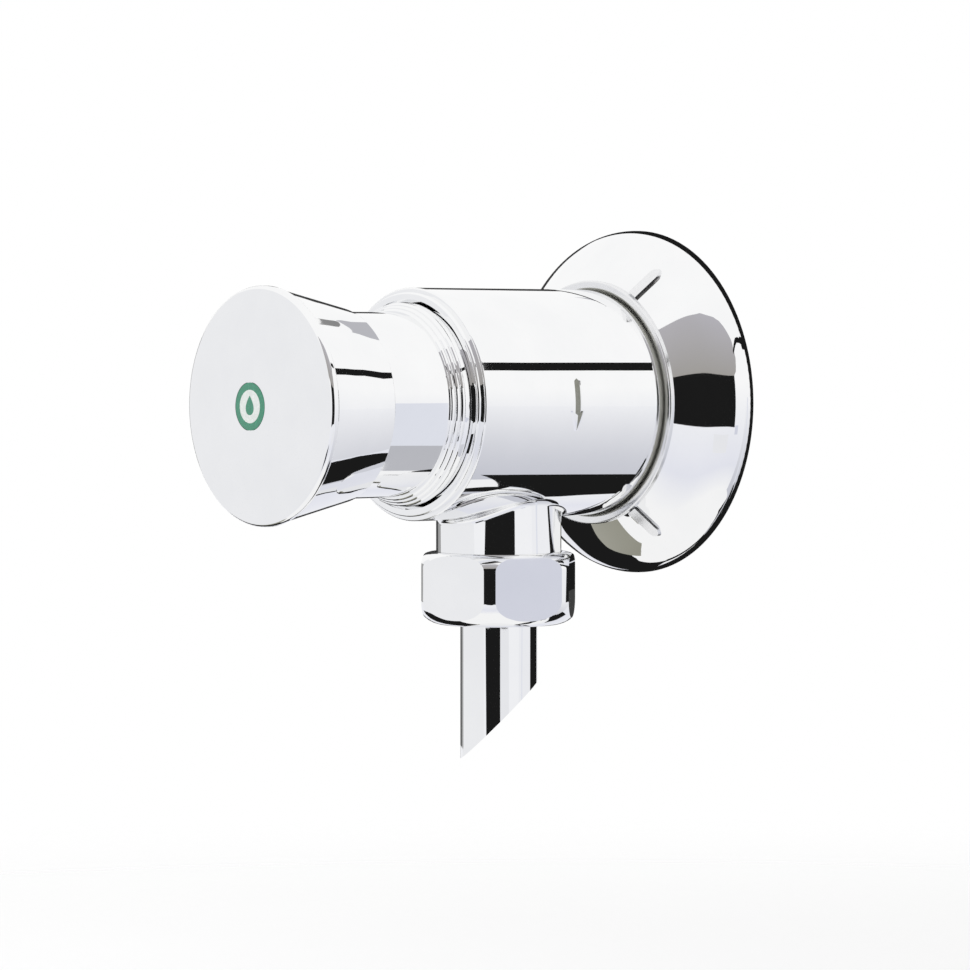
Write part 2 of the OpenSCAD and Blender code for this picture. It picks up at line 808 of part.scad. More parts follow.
// Plate that closes the timing cylinder and guides the stem in a long hub
module stem_guide() {
    guide_r = cylinder_r - seat_fit;
    hub_r = stem_groove_r + guide_hub_wall;
    hub_at = guide_at - guide_hub_len;
    color("ivory") turned(concat(
        [
            [guide_bore_r, hub_at],
            [hub_r, hub_at, small_edge],
            [hub_r, guide_at],
            [guide_r, guide_at],
            [guide_r, guide_end],
            [guide_bore_r, guide_end],
        ],
        backwards(groove(guide_bore_r, stem_groove_r, stem_groove_at, stem_groove_w))
    ));
}

module stem_o_ring() {
    color("dimgray") o_ring(guide_bore_r, stem_groove_at + stem_groove_w / 2, stem_seal_t);
}

// Open ring in the cylinder's groove that holds the guide on its shelf
module guide_circlip() {
    opening = 30;
    ring_r = cylinder_r + circlip_depth - seat_fit;
    color("slategray") out_from_wall(guide_end) rotate([0, 0, 270 + opening / 2])
        rotate_extrude(angle = 360 - opening, $fn = round_fn)
        translate([ring_r - circlip_w, 0]) square([circlip_w, circlip_t]);
}

// Arcs of the rings that step the collar in to the neck
function collar_beads() =
    let (
        foot = [collar_r - fine_edge, collar_at + collar_plain],
        head = [neck_r, collar_end],
        step = (head - foot) / collar_rings,
        facing = direction(head, foot) + 90,
        bead_r = 0.55 * norm(step),
        half = asin(norm(step) / 2 / bead_r)
    )
    [
        for (i = [0 : collar_rings - 1])
        let (
            middle = foot + step * (i + 0.5),
            centre = middle - bead_r * cos(half) * [cos(facing), sin(facing)]
        )
        each arc(centre, bead_r, facing - half, facing + half, bead_steps)
    ];

// Screwed-in neck with a ringed collar, a floor for the spring and an open front under the skirt
module bonnet() {
    bush_hole_r = bush_r + seat_fit;
    color("gainsboro") turned(concat(
        [
            [bonnet_bore_r, sleeve_flange_end],
            [bonnet_thread_r, sleeve_flange_end, edge],
        ],
        groove(bonnet_thread_r, bonnet_groove_r, bonnet_groove_at, groove_w),
        [
            [bonnet_thread_r, collar_at],
            [collar_r, collar_at, fine_edge],
        ],
        collar_beads(),
        [
            [neck_r, neck_end, edge],
            [bonnet_bore_r, neck_end, small_edge],
            [bonnet_bore_r, spring_floor, edge],
            [bush_hole_r, spring_floor],
            [bush_hole_r, bonnet_floor_at],
            [bonnet_bore_r, bonnet_floor_at],
        ]
    ));
}

module bonnet_o_ring() {
    color("dimgray") o_ring(bonnet_groove_r, bonnet_groove_at + groove_w / 2, o_ring_t - o_ring_squeeze);
}

// Flanged bush that guides the stem through the bonnet's floor
module bonnet_bush() {
    color("ivory") turned([
        [guide_bore_r, bush_at],
        [bush_r + bush_flange_w, bush_at, small_edge],
        [bush_r + bush_flange_w, bonnet_floor_at],
        [bush_r, bonnet_floor_at],
        [bush_r, bush_end, small_edge],
        [guide_bore_r, bush_end],
    ]);
}

// Height of the spring's wire after a number of turns: close end coils, open ones between
function spring_rise(turns, length) =
    let (
        close_pitch = spring_wire_d + spring_close_gap,
        open_pitch = (length - spring_wire_d - 2 * close_pitch) / (spring_turns - 2),
        opened = max(0, min(turns - 1, spring_turns - 2)),
        closed = min(turns, 1) + max(0, turns - spring_turns + 1)
    )
    spring_wire_d / 2 + close_pitch * closed + open_pitch * opened;

// Wire wound from the bonnet's floor up to the roof of the button
module return_spring() {
    sides = 6;
    rings_per_turn = 16;
    rings = round(spring_turns * rings_per_turn);
    length = roof_at - spring_floor - 2 * close_gap;
    points = [
        for (ring = [0 : rings], side = [0 : sides - 1])
        let (
            turns = ring / rings_per_turn,
            around = 360 * turns,
            about = 360 * side / sides,
            reach = spring_coil_d / 2 + spring_wire_d / 2 * cos(about)
        )
        [reach * cos(around), reach * sin(around),
            spring_rise(turns, length) + spring_wire_d / 2 * sin(about)]
    ];
    function at(ring, side) = ring * sides + side % sides;
    walls = [
        for (ring = [0 : rings - 1], side = [0 : sides - 1])
        each [
            [at(ring, side), at(ring, side + 1), at(ring + 1, side)],
            [at(ring, side + 1), at(ring + 1, side + 1), at(ring + 1, side)],
        ]
    ];
    ends = [
        for (side = [1 : sides - 2])
        each [
            [at(0, 0), at(0, side + 1), at(0, side)],
            [at(rings, 0), at(rings, side), at(rings, side + 1)],
        ]
    ];
    color("lightslategray") out_from_wall(spring_floor + close_gap)
        polyhedron(points, concat(walls, ends), convexity = 10);
}

// Hexagon nut with turned corners and rounded ends, hollow above its floor
module union_nut() {
    height = nut_end - nut_top;
    color("gainsboro") difference() {
        intersection() {
            down_the_outlet(nut_top) rotate([0, 0, nut_turn])
                cylinder(h = height, r = nut_flat_r / cos(30), $fn = 6);
            turned_outlet([
                [0, nut_top],
                [nut_r, nut_top, nut_top_round],
                [nut_r, nut_end, nut_bottom_round],
                [0, nut_end],
            ]);
        }
        turned_outlet([
            [0, nut_top - past],
            [nut_mouth_r, nut_top - past],
            [nut_mouth_r, stub_drop + fine_gap],
            [nut_bore_r, stub_drop + fine_gap],
            [nut_bore_r, nut_floor_at],
            [pipe_r + pipe_gap, nut_floor_at],
            [pipe_r + pipe_gap, nut_end + past],
            [0, nut_end + past],
        ]);
    }
}

module outlet_washer() {
    color("dimgray") turned_outlet([
        [outlet_bore_r, outlet_end],
        [washer_r, outlet_end],
        [washer_r, pipe_top],
        [outlet_bore_r, pipe_top],
    ]);
}

// Brass collar brazed on the pipe, which the nut pulls up against the washer
module pipe_collar() {
    color("goldenrod") turned_outlet([
        [pipe_r + run_gap / 2, pipe_top],
        [washer_r, pipe_top, fine_edge],
        [washer_r, nut_floor_at],
        [pipe_r + run_gap / 2, nut_floor_at],
    ]);
}

// Chromed pipe with a slanted end
module flush_pipe() {
    slant_reach = 4 * pipe_d;
    color("gainsboro") difference() {
        turned_outlet([
            [pipe_bore_r, pipe_top],
            [pipe_r, pipe_top],
            [pipe_r, pipe_end + pipe_d],
            [pipe_bore_r, pipe_end + pipe_d],
        ]);
        translate([0, -outlet_at, -pipe_end]) rotate([0, -pipe_mitre, mitre_turn])
            translate([-slant_reach, -slant_reach, -2 * slant_reach]) cube(2 * slant_reach);
    }
}

push_button();
button_badge();
button_lock_nut();
stem();
piston();
piston_lip_seal();
seal_washer();
piston_clip();
valve_clamp_washer();
valve_washer();
valve_holder();
valve_nut();
valve_body();
inlet_strainer();
wall_rose();
rose_o_ring();
cartridge_sleeve();
cartridge_o_ring();
stem_guide();
stem_o_ring();
guide_circlip();
bonnet();
bonnet_o_ring();
bonnet_bush();
return_spring();
union_nut();
outlet_washer();
pipe_collar();
flush_pipe();
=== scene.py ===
import json
import math

import bmesh
import bpy
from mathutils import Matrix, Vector


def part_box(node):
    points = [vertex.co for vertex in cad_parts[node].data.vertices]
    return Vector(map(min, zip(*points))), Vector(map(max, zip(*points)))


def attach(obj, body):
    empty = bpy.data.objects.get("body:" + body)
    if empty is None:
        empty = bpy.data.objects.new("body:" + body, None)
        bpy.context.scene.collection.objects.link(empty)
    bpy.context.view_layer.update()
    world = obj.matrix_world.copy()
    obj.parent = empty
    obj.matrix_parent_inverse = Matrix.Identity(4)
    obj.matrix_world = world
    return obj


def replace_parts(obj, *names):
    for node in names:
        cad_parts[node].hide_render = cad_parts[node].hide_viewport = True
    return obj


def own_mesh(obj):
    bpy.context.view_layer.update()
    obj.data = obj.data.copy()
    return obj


# Looks of the wall-mounted push tap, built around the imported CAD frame.
# The body's axis is Y, the wall is the plane y = 0, the button points to -Y and the outlet to -Z.

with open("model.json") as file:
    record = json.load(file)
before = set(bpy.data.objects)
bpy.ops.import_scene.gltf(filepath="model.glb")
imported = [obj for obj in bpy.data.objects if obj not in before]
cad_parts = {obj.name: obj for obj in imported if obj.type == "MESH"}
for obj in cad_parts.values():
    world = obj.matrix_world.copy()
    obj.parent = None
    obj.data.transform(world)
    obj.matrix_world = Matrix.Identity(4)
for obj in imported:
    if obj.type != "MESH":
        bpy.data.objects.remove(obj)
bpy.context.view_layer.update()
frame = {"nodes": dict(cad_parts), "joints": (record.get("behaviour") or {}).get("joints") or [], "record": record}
nodes = frame["nodes"]
MM = 0.001
WELD = 2e-6


def named(rows, name):
    """The row that has a name, from a list of rows of the frame."""
    return next(row for row in rows if row["name"] == name)


# Sizes from the frame, in millimetres
push = named(frame["joints"], "button_push")
inlet_tail = named(frame["record"]["mounts"], "inlet_tail")
pipe_low, pipe_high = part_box("flush_pipe")
BODY_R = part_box("valve_body")[1].x / MM
ROSE_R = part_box("wall_rose")[1].x / MM
OUTLET_Y = (pipe_low.y + pipe_high.y) / 2 / MM
TAIL_R = inlet_tail["dims"]["r_mm"]
TAIL_END_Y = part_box("valve_body")[1].y / MM
SPRING_FLOOR_Y = push["deforming_nodes"][0]["fixed_end_y_m"] / MM

# Sizes that repeat those of the part, in millimetres
STUB_SHOULDER = 0.95
STUB_R = TAIL_R + STUB_SHOULDER
TAIL_FOOT_Y = -2.5
TAIL_EDGE = 1
SPRING_END_Y = -86.15
SPRING_WIRE_R = 0.6
SPRING_COIL_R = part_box("return_spring")[1].x / MM - SPRING_WIRE_R
SPRING_TURNS = 5.5


# Shader nodes

def new_material(name, metallic=0):
    """A material with its node tree and its Principled shader."""
    material = bpy.data.materials.new(name)
    material.use_nodes = True
    tree = material.node_tree
    shader = tree.nodes["Principled BSDF"]
    shader.inputs["Metallic"].default_value = metallic
    return material, tree, shader


def add(tree, kind, inputs=None, **settings):
    """A node with its settings, and its sockets linked or set."""
    node = tree.nodes.new(kind)
    for key, value in settings.items():
        setattr(node, key, value)
    for key, value in (inputs or {}).items():
        if isinstance(value, bpy.types.NodeSocket):
            tree.links.new(value, node.inputs[key])
        else:
            node.inputs[key].default_value = value
    return node


def math_node(tree, operation, a, b=0.0, c=0.0):
    """The result of an operation on numbers."""
    return add(tree, "ShaderNodeMath", {0: a, 1: b, 2: c}, operation=operation).outputs[0]


def vector_node(tree, operation, a, b=(0, 0, 0), scale=1.0):
    """The result of an operation on vectors: a number for a length or a dot product, else a vector."""
    node = add(tree, "ShaderNodeVectorMath", {0: a, 1: b, 3: scale}, operation=operation)
    return node.outputs["Value" if operation in ("LENGTH", "DOT_PRODUCT") else "Vector"]


def object_place(tree):
    """The place on the surface, in metres."""
    return add(tree, "ShaderNodeTexCoord").outputs["Object"]


def generated_height(tree):
    """Height in an object's own box, or of a direction in a world."""
    place = add(tree, "ShaderNodeTexCoord").outputs["Generated"]
    return add(tree, "ShaderNodeSeparateXYZ", {"Vector": place}).outputs["Z"]


def radius_and_place(tree):
    """Distance from the body's axis, and the place itself, in metres."""
    split = add(tree, "ShaderNodeSeparateXYZ", {"Vector": object_place(tree)})
    x, y, z = (split.outputs[i] for i in range(3))
    square = math_node(tree, "ADD", math_node(tree, "MULTIPLY", x, x), math_node(tree, "MULTIPLY", z, z))
    return math_node(tree, "SQRT", square), x, y, z


def grey(level):
    """A neutral colour."""
    return (level, level, level)


def ramp(tree, value, *stops):
    """A colour ramp from (position, colour) stops."""
    node = add(tree, "ShaderNodeValToRGB", {"Fac": value})
    elements = node.color_ramp.elements
    while len(elements) < len(stops):
        elements.new(0.5)
    for element, (position, colour) in zip(elements, stops):
        element.position = position
        element.color = (*colour, 1)
    return node.outputs["Color"]


def noise(tree, scale, detail=2.0, roughness=0.5):
    """Soft noise over the surface."""
    settings = {"Vector": object_place(tree), "Scale": scale, "Detail": detail, "Roughness": roughness}
    return add(tree, "ShaderNodeTexNoise", settings).outputs["Fac"]


def mix(tree, factor, first, last, data_type="RGBA"):
    """A colour or vector that goes from one to another by a factor."""
    first_socket, last_socket, result = {"VECTOR": (4, 5, 1), "RGBA": (6, 7, 2)}[data_type]
    inputs = {0: factor, first_socket: first, last_socket: last}
    return add(tree, "ShaderNodeMix", inputs, data_type=data_type).outputs[result]


def vary(tree, shader, socket, pattern, first, last, low=0.3, high=0.7):
    """Takes a socket of the shader from one colour to another as a pattern goes from low to high."""
    tree.links.new(ramp(tree, pattern, (low, first), (high, last)), shader.inputs[socket])


def bump(tree, shader, height, distance, strength=1.0):
    """Relief of the surface, by its depth in metres."""
    node = add(tree, "ShaderNodeBump", {"Height": height, "Distance": distance, "Strength": strength})
    tree.links.new(node.outputs["Normal"], shader.inputs["Normal"])
    return node


# Finishes

def bell_normal(tree, foot_r=22.6, edge_r=ROSE_R, margin=0.05, likeness=0.93):
    """Even normals for the rose's bell: a cone that bends softly into the rounded edge."""
    # Radius, and how far the normal leans towards the button there, in degrees
    bends = ((foot_r, 52.1), (26.5, 52), (27.5, 50.5), (28.6, 46.5), (29.7, 41), (30.5, 34.5), (31.1, 28),
             (31.6, 18), (edge_r, 0))
    outward = vector_node(tree, "MULTIPLY", object_place(tree), (1, 0, 1))
    radius = vector_node(tree, "LENGTH", outward)
    share = add(tree, "ShaderNodeMapRange",
                {"Value": radius, "From Min": foot_r * MM, "From Max": edge_r * MM}).outputs[0]
    curve = add(tree, "ShaderNodeFloatCurve", {"Value": share})
    points = curve.mapping.curves[0].points
    while len(points) < len(bends):
        points.new(0.5, 0.5)
    for point, (r, degrees) in zip(points, bends):
        point.location = ((r - foot_r) / (edge_r - foot_r), degrees / 90)
    curve.mapping.update()
    tilt = math_node(tree, "MULTIPLY", curve.outputs[0], math.pi / 2)
    side = vector_node(tree, "NORMALIZE", outward)
    side = vector_node(tree, "SCALE", side, scale=math_node(tree, "COSINE", tilt))
    lean = math_node(tree, "MULTIPLY", math_node(tree, "SINE", tilt), -1.0)
    forward = add(tree, "ShaderNodeCombineXYZ", {1: lean}).outputs[0]
    even = vector_node(tree, "ADD", side, forward)
    normal = add(tree, "ShaderNodeNewGeometry").outputs["Normal"]
    is_alike = math_node(tree, "GREATER_THAN", vector_node(tree, "DOT_PRODUCT", even, normal), likeness)
    is_past_foot = math_node(tree, "GREATER_THAN", radius, (foot_r + margin) * MM)
    on_bell = math_node(tree, "MULTIPLY", is_alike, is_past_foot)
    return mix(tree, on_bell, normal, even, data_type="VECTOR")


def chrome(name="chrome", shape=None):
    """Polished plate: faint orange peel from the casting under it, and a little haze from handling."""
    material, tree, shader = new_material(name, metallic=1)
    haze = noise(tree, scale=90, detail=6, roughness=0.6)
    vary(tree, shader, "Base Color", haze, (0.925, 0.928, 0.934), (0.955, 0.956, 0.958), low=0.35)
    vary(tree, shader, "Roughness", haze, grey(0.012), grey(0.045), low=0.4, high=0.75)
    peel = bump(tree, shader, noise(tree, scale=70, detail=1), distance=0.00006, strength=0.35)
    if shape:
        tree.links.new(shape(tree), peel.inputs["Normal"])
    return material


def arrow_painted_shade():
    """Dull plate with painted shade: a dark olive over the cast grain, for the shaded slopes of the arrow on the
    barrel.
    """
    material, tree, shader = new_material("chrome_dull_painted_shade", metallic=1)
    grain = noise(tree, scale=1600, detail=4, roughness=0.6)
    vary(tree, shader, "Base Color", grain, (0.26, 0.262, 0.225), (0.36, 0.362, 0.32))
    vary(tree, shader, "Roughness", grain, grey(0.34), grey(0.5))
    bump(tree, shader, grain, distance=0.00003, strength=0.5)
    return material


def satin():
    """Plate in the corners that polishing doesn't reach, softer than the open faces."""
    material, tree, shader = new_material("chrome_satin", metallic=1)
    grain = noise(tree, scale=900, detail=4, roughness=0.6)
    vary(tree, shader, "Base Color", grain, (0.83, 0.832, 0.84), (0.87, 0.872, 0.88))
    vary(tree, shader, "Roughness", grain, grey(0.15), grey(0.21))
    return material


def painted_gap_shade():
    """Painted shade: a dull grey on the body's end that stands in for the shade in the gap between the body and
    the rose.
    """
    material, tree, shader = new_material("gap_painted_shade")
    cloud = noise(tree, scale=600, detail=4)
    vary(tree, shader, "Base Color", cloud, (0.40, 0.40, 0.36), (0.50, 0.50, 0.46))
    vary(tree, shader, "Roughness", cloud, grey(0.42), grey(0.56))
    return material


def brass(radians_per_metre=24000.0):
    """Machined brass with turning marks around the axis."""
    material, tree, shader = new_material("brass", metallic=1)
    radius, _, y, _ = radius_and_place(tree)
    phase = math_node(tree, "MULTIPLY", math_node(tree, "ADD", radius, y), radians_per_metre)
    stain = noise(tree, scale=160, detail=5)
    vary(tree, shader, "Base Color", stain, (0.60, 0.43, 0.20), (0.76, 0.58, 0.30))
    vary(tree, shader, "Roughness", stain, grey(0.2), grey(0.34))
    bump(tree, shader, math_node(tree, "SINE", phase), distance=0.00001, strength=0.5)
    return material


def stainless():
    """Drawn steel with fine lines along the axis."""
    material, tree, shader = new_material("stainless", metallic=1)
    stretched = add(tree, "ShaderNodeMapping", {"Vector": object_place(tree), "Scale": (1, 0.06, 1)})
    lines = add(tree, "ShaderNodeTexNoise",
                {"Vector": stretched.outputs["Vector"], "Scale": 2400, "Detail": 3}).outputs["Fac"]
    vary(tree, shader, "Base Color", lines, grey(0.52), grey(0.66))
    vary(tree, shader, "Roughness", lines, grey(0.22), grey(0.36))
    bump(tree, shader, lines, distance=0.00002, strength=0.4)
    return material


def rubber():
    """Black rubber with a fine moulded grain."""
    material, tree, shader = new_material("rubber")
    grain = noise(tree, scale=1800, detail=4)
    vary(tree, shader, "Base Color", grain, grey(0.016), grey(0.034))
    vary(tree, shader, "Roughness", grain, grey(0.5), grey(0.7))
    bump(tree, shader, grain, distance=0.00004, strength=0.5)
    return material


def acetal():
    """Cream plastic, a little clouded, with a faint moulded grain."""
    material, tree, shader = new_material("acetal")
    cloud = noise(tree, scale=220, detail=4)
    vary(tree, shader, "Base Color", cloud, (0.80, 0.77, 0.69), (0.88, 0.86, 0.80))
    vary(tree, shader, "Roughness", cloud, grey(0.36), grey(0.48))
    bump(tree, shader, noise(tree, scale=2600), distance=0.00003, strength=0.3)
    return material


def badge(ring_r=2.9, drop_low=-1.5, drop_tall=3.4, drop_half=1.15):
    """Green ring around a pale field with a plain drop in the middle, under a clear gloss."""
    material, tree, shader = new_material("badge_green")
    radius, x, _, z = radius_and_place(tree)
    green = (0.020, 0.205, 0.115)
    pale = (0.74, 0.78, 0.75)
    rise = math_node(tree, "DIVIDE", math_node(tree, "SUBTRACT", z, drop_low * MM), drop_tall * MM)
    rise = add(tree, "ShaderNodeClamp", {"Value": rise}).outputs[0]
    belly = math_node(tree, "MULTIPLY", math_node(tree, "SQRT", rise), math_node(tree, "SUBTRACT", 1.0, rise))
    widest_belly = 0.385
    half = math_node(tree, "MULTIPLY", belly, drop_half * MM / widest_belly)
    in_drop = math_node(tree, "LESS_THAN", math_node(tree, "ABSOLUTE", x), half)
    in_ring = math_node(tree, "GREATER_THAN", radius, ring_r * MM)
    grain = noise(tree, scale=1500, detail=3)
    field = ramp(tree, grain, (0.3, tuple(0.93 * c for c in pale)), (0.7, pale))
    ink = ramp(tree, grain, (0.3, green), (0.7, tuple(1.2 * c for c in green)))
    marked = math_node(tree, "MAXIMUM", in_drop, in_ring)
    tree.links.new(mix(tree, marked, field, ink), shader.inputs["Base Color"])
    vary(tree, shader, "Roughness", grain, grey(0.2), grey(0.3))
    shader.inputs["Coat Weight"].default_value = 0.6
    shader.inputs["Coat Roughness"].default_value = 0.05
    return material


finishes = {
    "chrome": chrome(), "brass": brass(), "stainless": stainless(), "rubber": rubber(),
    "acetal": acetal(), "badge_green": badge(),
}
for part in frame["record"]["subparts"]:
    nodes[part["node"]].data.materials.clear()
    nodes[part["node"]].data.materials.append(finishes[part["material_slot"]])


def refinish(mesh, finish, chosen):
    """Gives a finish to the faces that are chosen by their distance from the axis and from the wall."""
    mesh.materials.append(finish)
    for polygon in mesh.polygons:
        x, y, z = polygon.center / MM
        if chosen(math.hypot(x, z), -y):
            polygon.material_index = 1


def in_rose_corner(r, d, throat_r=19, ring_r=22.63, ring_d=9, rib_r=28.6, cone_tip=28.65, cone_fall=0.78):
    """The ring with its throat, and the ribs that stand above the bell's cone."""
    on_ring = throat_r < r < ring_r and d > ring_d
    on_rib = ring_r < r < rib_r and d > cone_tip - cone_fall * r
    return on_ring or on_rib


def on_spigot(r, d, inner_r=18.9, outer_r=20.75, gap_d=13):
    """The body's end in the gap before the rose."""
    return inner_r < r < outer_r and d < gap_d


nodes["wall_rose"].data.materials[0] = chrome("chrome_bell", bell_normal)
refinish(nodes["wall_rose"].data, satin(), in_rose_corner)


# Smoothing of the CAD surfaces

def smoothing_group(name, angle):
    """Geometry nodes that join the seams between CAD faces and keep only real edges sharp."""
    tree = bpy.data.node_groups.new(name, "GeometryNodeTree")
    tree.interface.new_socket("Geometry", in_out="INPUT", socket_type="NodeSocketGeometry")
    tree.interface.new_socket("Geometry", in_out="OUTPUT", socket_type="NodeSocketGeometry")
    start = add(tree, "NodeGroupInput").outputs[0]
    joined = add(tree, "GeometryNodeMergeByDistance", {"Geometry": start, "Distance": WELD})
    plain = add(tree, "GeometryNodeRemoveAttribute", {"Geometry": joined.outputs[0], "Name": "custom_normal"})
    smooth = add(tree, "GeometryNodeSetShadeSmooth", {"Geometry": plain.outputs[0], "Shade Smooth": True})
    edge_angle = add(tree, "GeometryNodeInputMeshEdgeAngle").outputs["Unsigned Angle"]
    is_sharp = add(tree, "FunctionNodeCompare", {0: edge_angle, 1: math.radians(angle)},
                   data_type="FLOAT", operation="GREATER_THAN").outputs[0]
    sharp = add(tree, "GeometryNodeSetShadeSmooth",
                {"Geometry": smooth.outputs[0], "Selection": is_sharp, "Shade Smooth": False}, domain="EDGE")
    add(tree, "NodeGroupOutput", {0: sharp.outputs[0]})
    return tree


smoothing = smoothing_group("smooth_over_seams", angle=19)


def smooth_over_seams(obj):
    """Joins the seams and lets the large faces keep their true normals."""
    obj.modifiers.new("smooth_over_seams", "NODES").node_group = smoothing
    weighted = obj.modifiers.new("true_large_faces", "WEIGHTED_NORMAL")
    weighted.mode = "FACE_AREA"
    weighted.weight = 90
    weighted.keep_sharp = True


for node in nodes.values():
    smooth_over_seams(node)


# Pieces of mesh

def in_scene(name, data):
    """A new object that is in the scene."""
    obj = bpy.data.objects.new(name, data)
    bpy.context.scene.collection.objects.link(obj)
    return obj


def new_mesh(name, verts, faces, material):
    """A mesh in metres with one material."""
    mesh = bpy.data.meshes.new(name)
    mesh.from_pydata(verts, [], faces)
    mesh.validate()
    mesh.materials.append(material)
    return mesh


def piece(name, verts, faces, body, slot, smooth=True):
    """A mesh piece, given in millimetres, that rides on a body and takes a slot's finish."""
    mesh = new_mesh(name, [Vector(v) * MM for v in verts], faces, finishes[slot])
    mesh.polygons.foreach_set("use_smooth", [smooth] * len(mesh.polygons))
    obj = in_scene(name, mesh)
    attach(obj, body)
    return obj


def grid_faces(rows, columns, closed=True):
    """Quads of a grid of points, row after row, whose columns may close on themselves."""
    last = columns if closed else columns - 1
    return [
        (r * columns + c, r * columns + (c + 1) % columns,
         (r + 1) * columns + (c + 1) % columns, (r + 1) * columns + c)
        for r in range(rows - 1) for c in range(last)
    ]


def around_axis(radius, angle, y):
    """A point around the body's axis."""
    return (radius * math.cos(angle), y, radius * math.sin(angle))


def outlet_fillet(radius=1.5, around=192, steps=14):
    """Concave fillet between the outlet's stub and the barrel, the path of a rolling ball."""
    verts = []
    for i in range(steps + 1):
        for j in range(around):
            angle = 2 * math.pi * j / around
            out = Vector((math.cos(angle), math.sin(angle), 0))
            centre = out * (STUB_R + radius)
            centre.z = -math.sqrt((BODY_R + radius) ** 2 - centre.x ** 2)
            to_stub = -out
            to_body = -Vector((centre.x, 0, centre.z)).normalized()
            point = centre + to_stub.slerp(to_body, i / steps) * radius
            verts.append((point.x, point.y + OUTLET_Y, point.z))
    return piece("outlet_fillet", verts, grid_faces(steps + 1, around), "valve", "chrome")


def flow_arrow(across=0.75, top=4.7, neck=-1.1, tip=-4.7, shaft_half=0.6, head_half=1.25, notch=0.8,
               edge=0.45, relief=0.13, crown=1.2, sunk=0.02, steps=16):
    """Low cast arrow on the barrel's side that points the way of the water, with painted shade on its slopes."""

    def on_barrel(along, height, raised):
        reach = BODY_R + raised
        return (math.sqrt(reach ** 2 - height ** 2), OUTLET_Y + across + along, height)

    def shaft_width(share):
        into_cap = max(0, 1 - share * (top - neck) / shaft_half)
        return shaft_half * math.sqrt(max(0, 1 - into_cap ** 2))

    def head_width(share):
        return head_half * (1 - share)

    strips = 4
    left_slope, right_slope = 1, 2
    verts, faces = [], []
    for first, last, width, back in ((top, neck - notch, shaft_width, 0), (neck, tip, head_width, notch)):
        start = len(verts)
        for i in range(steps + 1):
            share = i / steps
            half = width(share)
            side = first + (last - first) * share
            middle = side - back * (1 - share)
            verts += [on_barrel(-half - edge, side, -sunk), on_barrel(-half, side, relief),
                      on_barrel(0, middle, crown * relief), on_barrel(half, side, relief),
                      on_barrel(half + edge, side, -sunk)]
        faces += [tuple(start + v for v in face) for face in grid_faces(steps + 1, strips + 1, closed=False)]
    obj = piece("flow_arrow", verts, faces, "valve", "chrome", smooth=False)
    obj.data.materials.append(arrow_painted_shade())
    # Painted shade goes on the right slopes, and on the shaft's left slope too.
    for i, polygon in enumerate(obj.data.polygons):
        on_shaft = i < strips * steps
        strip = i % strips
        polygon.material_index = int(strip == right_slope or (on_shaft and strip == left_slope))
    return obj


def threaded_tail(around=96, per_pitch=12, pitch=1.814, depth=1.16, steepness=1.35):
    """Helical half-inch thread whose depth fades out at both ends of the tail."""
    start, end = TAIL_FOOT_Y, TAIL_END_Y - TAIL_EDGE
    fade_in, fade_out = pitch, pitch / 2
    rows = int((end - start) / pitch * per_pitch) + 1
    verts = []
    for i in range(rows + 1):
        y = start + (end - start) * i / rows
        fade = max(0, min(1, (y - start) / fade_in, (end - y) / fade_out))
        for j in range(around):
            phase = (y / pitch + j / around) % 1
            ridge = min(1, max(0, steepness * abs(2 * phase - 1) - (steepness - 1) / 2))
            verts.append(around_axis(TAIL_R - depth * fade * (1 - ridge), 2 * math.pi * j / around, y))
    return verts, grid_faces(rows + 1, around)


def body_casting(near=0.01):
    """The CAD body with its plain tail wall changed for a cut thread."""
    mesh = nodes["valve_body"].data.copy()
    mesh.name = "body_casting"
    work = bmesh.new()
    work.from_mesh(mesh)
    bmesh.ops.remove_doubles(work, verts=work.verts, dist=WELD)

    def on_tail(v):
        in_reach = TAIL_FOOT_Y - near < v.co.y / MM < TAIL_END_Y - TAIL_EDGE + near
        return in_reach and abs(math.hypot(v.co.x, v.co.z) / MM - TAIL_R) < near

    wall = [f for f in work.faces if all(on_tail(v) for v in f.verts)]
    bmesh.ops.delete(work, geom=wall, context="FACES")
    verts, faces = threaded_tail()
    made = [work.verts.new(Vector(v) * MM) for v in verts]
    for face in faces:
        work.faces.new([made[i] for i in face])
    bmesh.ops.recalc_face_normals(work, faces=work.faces)
    work.to_mesh(mesh)
    work.free()
    # Painted shade: the body's end in the gap before the rose turns dull grey.
    refinish(mesh, painted_gap_shade(), on_spigot)
    obj = in_scene("body_casting", mesh)
    smooth_over_seams(obj)
    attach(obj, "valve")
    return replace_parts(obj, "valve_body")


def spring_rise(turns, length, close_gap=0.5):
    """Height of the wire's middle after some turns: close end coils, open ones between."""
    close_pitch = 2 * SPRING_WIRE_R + close_gap
    open_pitch = (length - 2 * SPRING_WIRE_R - 2 * close_pitch) / (SPRING_TURNS - 2)
    opened = max(0, min(turns - 1, SPRING_TURNS - 2))
    closed = min(turns, 1) + max(0, turns - SPRING_TURNS + 1)
    return SPRING_WIRE_R + close_pitch * closed + open_pitch * opened


def spring(sides=14, per_turn=48, seat_gap=0.05):
    """Round spring wire on the coil of the CAD spring."""
    length = SPRING_FLOOR_Y - SPRING_END_Y - seat_gap
    rings = round(SPRING_TURNS * per_turn)
    verts = []
    for ring in range(rings + 1):
        turns = ring / per_turn
        for side in range(sides):
            about = 2 * math.pi * side / sides
            reach = SPRING_COIL_R + SPRING_WIRE_R * math.cos(about)
            rise = seat_gap + spring_rise(turns, length) + SPRING_WIRE_R * math.sin(about)
            verts.append(around_axis(reach, 2 * math.pi * turns, SPRING_FLOOR_Y - rise))
    faces = grid_faces(rings + 1, sides)
    faces += [tuple(range(sides - 1, -1, -1)), tuple(range(rings * sides, (rings + 1) * sides))]
    obj = piece("spring_wire", verts, faces, "valve", "stainless")
    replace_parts(obj, "return_spring")
    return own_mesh(obj)


outlet_fillet()
flow_arrow()
body_casting()
spring()


# Studio cards, which only reflections see. Far ones are placed by angles and near ones in millimetres.

